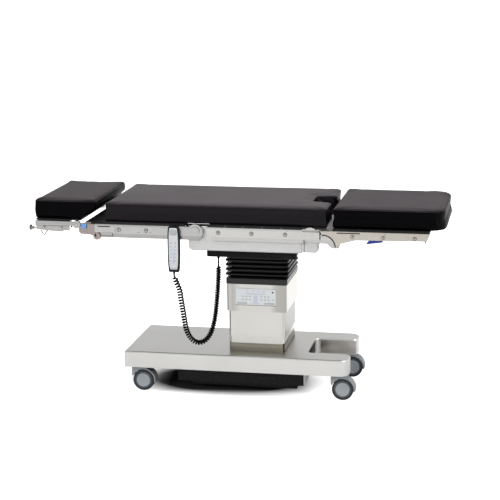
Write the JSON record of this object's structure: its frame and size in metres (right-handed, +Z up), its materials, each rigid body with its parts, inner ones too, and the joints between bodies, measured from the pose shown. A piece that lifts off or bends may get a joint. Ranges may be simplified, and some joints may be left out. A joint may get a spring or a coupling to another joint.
{
  "type": "operating table",
  "caption": "Mobile operating table: padded sectional top on a telescoping column with bellows, flat base on twin-wheel casters, and a hand control on a curly cord.",
  "frame": {"origin": "centre of the object's footprint at floor level, with the curly cord left out", "axes": "+X along the table towards the leg section, +Y across it to the side away from the control panel, +Z up"},
  "size_m": [1.904, 0.6245, 0.905],
  "materials": {
    "brushed_steel_sheet": "satin, brushed along the sheet",
    "rail_steel": "satin",
    "machined_steel": "polished",
    "base_casting": "painted black, inside the cover",
    "underbody_plastic": "matt black",
    "collar_rubber": "satin black",
    "bellows_rubber": "satin black",
    "panel_film": "smooth membrane keypad",
    "carriage_black": "coated satin black",
    "white_paint": "satin off-white",
    "board_black": "matt laminate",
    "pad_vinyl": "black coated upholstery, fine grain",
    "handset_plastic": "dark rim with a pale keypad",
    "cord_rubber": "matt black",
    "blue_plastic": "smooth",
    "caster_plastic": "smooth grey",
    "caster_tyre": "dark grey, smooth tread",
    "caster_cap": "smooth light grey"
  },
  "bodies": {
    "base": {"base_cover": "brushed_steel_sheet", "base_chassis": "base_casting", "underbody_housing": "underbody_plastic", "underbody_end_plate": "brushed_steel_sheet", "column_foot": "brushed_steel_sheet", "guide_tube_lower": "machined_steel"},
    "middle_stage": {"shroud_middle": "brushed_steel_sheet", "guide_tube_middle": "machined_steel"},
    "upper_stage": {"shroud_upper": "brushed_steel_sheet", "guide_tube_upper": "machined_steel", "shroud_collar": "collar_rubber", "control_panel": "panel_film", "bellows": "bellows_rubber"},
    "tilt_cross": {"tilt_cross": "machined_steel"},
    "tilt_head": {"tilt_head": "machined_steel"},
    "seat": {"carriage_housing": "carriage_black", "cord_gland": "cord_rubber", "side_housing_near": "white_paint", "side_housing_far": "white_paint", "end_block_near": "white_paint", "end_block_far": "white_paint", "seat_rail_near": "rail_steel", "seat_rail_far": "rail_steel", "seat_board": "board_black", "seat_pad": "pad_vinyl", "pad_fold": "pad_vinyl", "handset_cord": "cord_rubber"},
    "back": {"back_rail_near": "rail_steel", "back_rail_far": "rail_steel", "back_board": "board_black", "back_pad": "pad_vinyl", "head_bracket_near": "machined_steel", "head_bracket_far": "machined_steel", "handset": "handset_plastic"},
    "head_button_near": {"head_release_button_near": "blue_plastic"},
    "head_button_far": {"head_release_button_far": "blue_plastic"},
    "head": {"head_rail_near": "rail_steel", "head_rail_far": "rail_steel", "head_board": "board_black", "head_pad": "pad_vinyl"},
    "bail": {"head_release_bail": "machined_steel"},
    "leg": {"leg_bracket_near": "rail_steel", "leg_bracket_far": "rail_steel", "leg_rail_near": "rail_steel", "leg_rail_far": "rail_steel", "leg_board": "board_black", "leg_pad": "pad_vinyl"},
    "leg_lever": {"leg_release_lever": "blue_plastic"},
    "caster_swivel_head_near": {"caster_hood_head_near": "caster_plastic"},
    "caster_wheel_head_near": {"caster_tyres_head_near": "caster_tyre", "caster_hub_head_near": "caster_cap"},
    "caster_swivel_head_far": {"caster_hood_head_far": "caster_plastic"},
    "caster_wheel_head_far": {"caster_tyres_head_far": "caster_tyre", "caster_hub_head_far": "caster_cap"},
    "caster_swivel_foot_near": {"caster_hood_foot_near": "caster_plastic"},
    "caster_wheel_foot_near": {"caster_tyres_foot_near": "caster_tyre", "caster_hub_foot_near": "caster_cap"},
    "caster_swivel_foot_far": {"caster_hood_foot_far": "caster_plastic"},
    "caster_wheel_foot_far": {"caster_tyres_foot_far": "caster_tyre", "caster_hub_foot_far": "caster_cap"}
  },
  "joints": [
    {"name": "column_lift", "type": "slide", "parent": "base", "child": "upper_stage", "axis": [0, 0, 1], "range_m": [-0.13, 0.12]},
    {"name": "middle_lift", "type": "slide", "parent": "base", "child": "middle_stage", "axis": [0, 0, 1], "range_m": [-0.0585, 0.054]},
    {"name": "trendelenburg", "type": "hinge", "parent": "upper_stage", "child": "tilt_cross", "pos_m": [0.085, 0, 0.6], "axis": [0, -1, 0], "range_deg": [-20, 20], "deforming": ["bellows"]},
    {"name": "lateral_tilt", "type": "hinge", "parent": "tilt_cross", "child": "tilt_head", "pos_m": [0.085, 0, 0.6], "axis": [1, 0, 0], "range_deg": [-15, 15]},
    {"name": "tabletop_slide", "type": "slide", "parent": "tilt_head", "child": "seat", "axis": [1, 0, 0], "range_m": [0, 0.08]},
    {"name": "back_section", "type": "hinge", "parent": "seat", "child": "back", "pos_m": [-0.172, 0, 0.784], "axis": [0, -1, 0], "range_deg": [-70, 35], "deforming": ["pad_fold", "handset_cord"]},
    {"name": "head_section", "type": "hinge", "parent": "back", "child": "head", "pos_m": [-0.728, 0, 0.804], "axis": [0, 1, 0], "range_deg": [-90, 25]},
    {"name": "leg_section", "type": "hinge", "parent": "seat", "child": "leg", "pos_m": [0.353, 0, 0.784], "axis": [0, 1, 0], "range_deg": [-10, 75]},
    {"name": "head_button_near", "type": "slide", "parent": "back", "child": "head_button_near", "axis": [0, 1, 0], "range_m": [0, 0.004], "stiffness_N_per_m": 300, "springref_m": -0.002},
    {"name": "head_button_far", "type": "slide", "parent": "back", "child": "head_button_far", "axis": [0, -1, 0], "range_m": [0, 0.004], "stiffness_N_per_m": 300, "springref_m": -0.002},
    {"name": "leg_lever", "type": "hinge", "parent": "leg", "child": "leg_lever", "pos_m": [0.6175, -0.287, 0.7698], "axis": [0, 1, 0], "range_deg": [0, 25], "stiffness_Nm_per_rad": 0.3, "springref_deg": -17.19},
    {"name": "bail_swing", "type": "hinge", "parent": "head", "child": "bail", "pos_m": [-0.883, -0.298, 0.774], "axis": [-1, 0, 0], "range_deg": [0, 80]},
    {"name": "swivel_head_near", "type": "hinge", "parent": "base", "child": "caster_swivel_head_near", "pos_m": [-0.466, -0.187, 0.121], "axis": [0, 0, 1], "continuous": true},
    {"name": "wheel_head_near", "type": "hinge", "parent": "caster_swivel_head_near", "child": "caster_wheel_head_near", "pos_m": [-0.449, -0.187, 0.05], "axis": [0, 1, 0], "continuous": true},
    {"name": "swivel_head_far", "type": "hinge", "parent": "base", "child": "caster_swivel_head_far", "pos_m": [-0.466, 0.187, 0.121], "axis": [0, 0, 1], "continuous": true},
    {"name": "wheel_head_far", "type": "hinge", "parent": "caster_swivel_head_far", "child": "caster_wheel_head_far", "pos_m": [-0.449, 0.187, 0.05], "axis": [0, 1, 0], "continuous": true},
    {"name": "swivel_foot_near", "type": "hinge", "parent": "base", "child": "caster_swivel_foot_near", "pos_m": [0.477, -0.187, 0.121], "axis": [0, 0, 1], "continuous": true},
    {"name": "wheel_foot_near", "type": "hinge", "parent": "caster_swivel_foot_near", "child": "caster_wheel_foot_near", "pos_m": [0.494, -0.187, 0.05], "axis": [0, 1, 0], "continuous": true},
    {"name": "swivel_foot_far", "type": "hinge", "parent": "base", "child": "caster_swivel_foot_far", "pos_m": [0.477, 0.187, 0.121], "axis": [0, 0, 1], "continuous": true},
    {"name": "wheel_foot_far", "type": "hinge", "parent": "caster_swivel_foot_far", "child": "caster_wheel_foot_far", "pos_m": [0.494, 0.187, 0.05], "axis": [0, 1, 0], "continuous": true}
  ],
  "couplings": [
    {"joint": "middle_lift", "follows": "column_lift", "ratio": 0.45}
  ]
}
